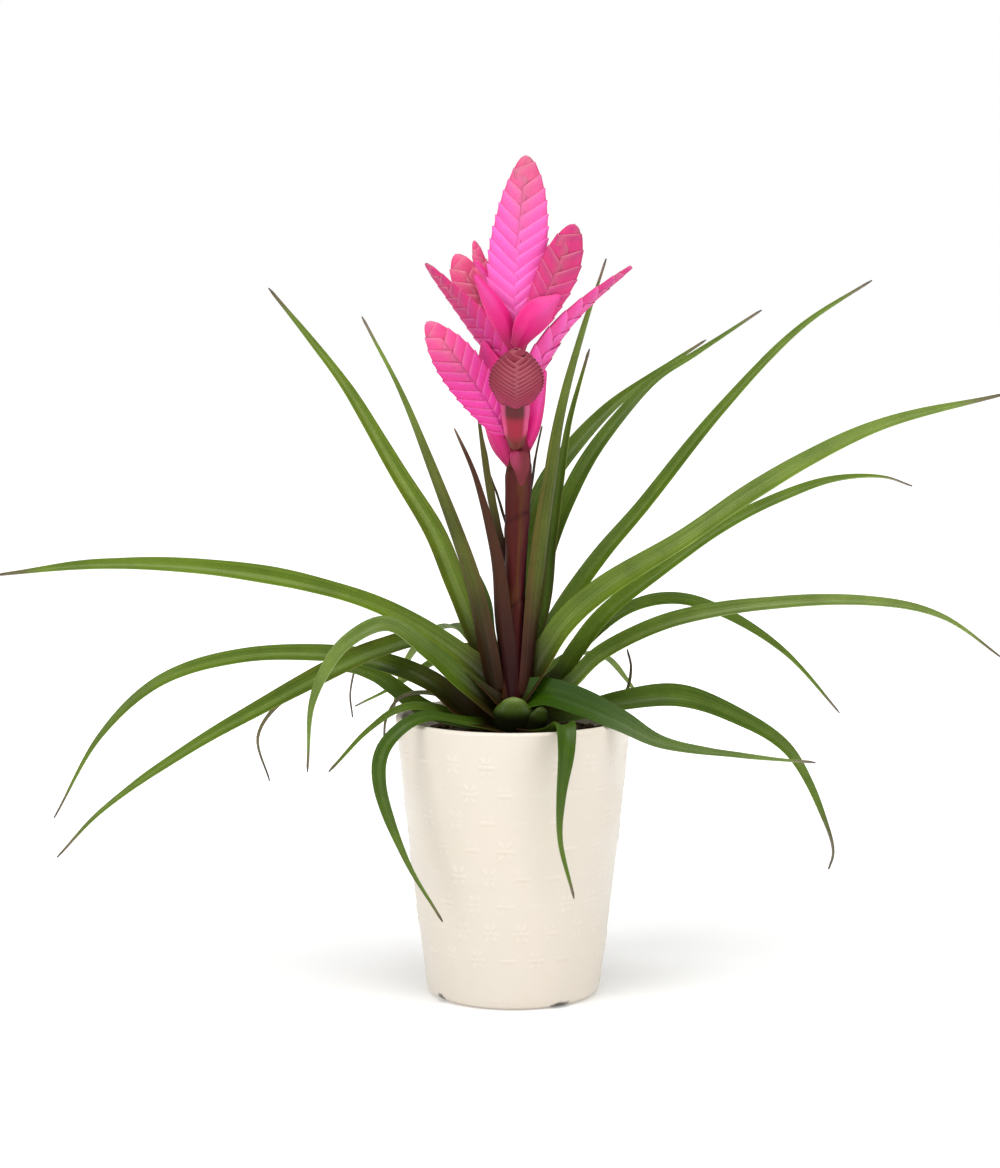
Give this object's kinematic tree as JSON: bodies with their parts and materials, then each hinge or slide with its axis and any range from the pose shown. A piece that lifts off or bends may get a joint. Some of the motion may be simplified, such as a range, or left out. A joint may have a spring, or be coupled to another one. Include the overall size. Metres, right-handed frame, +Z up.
{
  "type": "pink quill plant in a pot",
  "caption": "Branched air plant with long arching green leaves and pink feather-like flower spikes, planted in a tapered cream glazed pot.",
  "frame": {"origin": "centre of the flat underside of the pot, on the plane it stands on", "axes": "+Z up along the pot axis; -Y is the front, towards the viewer; +X is the viewer's right and the widest way across the leaves"},
  "size_m": [0.4425, 0.2191, 0.374],
  "materials": {
    "glaze": "cream satin glaze over low relief",
    "soil": "damp bark and peat, stood in for by wood",
    "stem": "smooth maroon plant tissue, stood in for by leather",
    "leaf": "fine-scaled green leaf, stood in for by leather",
    "bract": "waxy magenta bract, stood in for by leather",
    "spike": "waxy pink overlapping bracts, stood in for by leather"
  },
  "bodies": {
    "root": {"pot": "glaze", "soil": "soil", "flower_stem": "stem", "stem_bract_left_long": "stem", "stem_bract_left_upper": "stem", "stem_bract_left_thin": "stem", "stem_bract_right_thin": "stem", "bract_low": "bract", "bract_left": "bract", "bract_right": "bract", "bract_front": "bract", "bract_boat_front": "bract", "bract_boat_back": "bract", "bract_boat_right": "bract", "spike_top": "spike", "spike_right_upper": "spike", "spike_right": "spike", "spike_back_left": "spike", "spike_back": "spike", "spike_left_upper": "spike", "spike_left_lower": "spike", "spike_front": "spike", "leaf_base_front": "leaf", "leaf_base_front_right": "leaf", "leaf_upright_left": "leaf", "leaf_upright_left_front": "leaf", "leaf_upright_left_back": "leaf", "leaf_upright_right": "leaf", "leaf_upright_right_back": "leaf", "leaf_back_right_inner": "leaf", "leaf_back_right_outer": "leaf", "leaf_right_high": "leaf", "leaf_right_broad": "leaf", "leaf_right_middle": "leaf", "leaf_left_long": "leaf", "leaf_left_drooping": "leaf", "leaf_left_arching": "leaf", "leaf_left_front_arch": "leaf", "leaf_right_lower": "leaf", "leaf_right_back_arch": "leaf", "leaf_right_over_rim": "leaf", "leaf_front_right": "leaf", "leaf_front_hanging": "leaf", "leaf_front_left_hanging": "leaf", "leaf_front_left_low": "leaf", "leaf_left_curled": "leaf", "leaf_left_thin": "leaf", "leaf_back_left": "leaf", "leaf_left_rim_tip": "leaf", "leaf_right_thin_curl": "leaf", "leaf_back_tall": "leaf", "leaf_back_left_long": "leaf", "leaf_back_hanging": "leaf", "leaf_back_right_low": "leaf"}
  },
  "joints": []
}
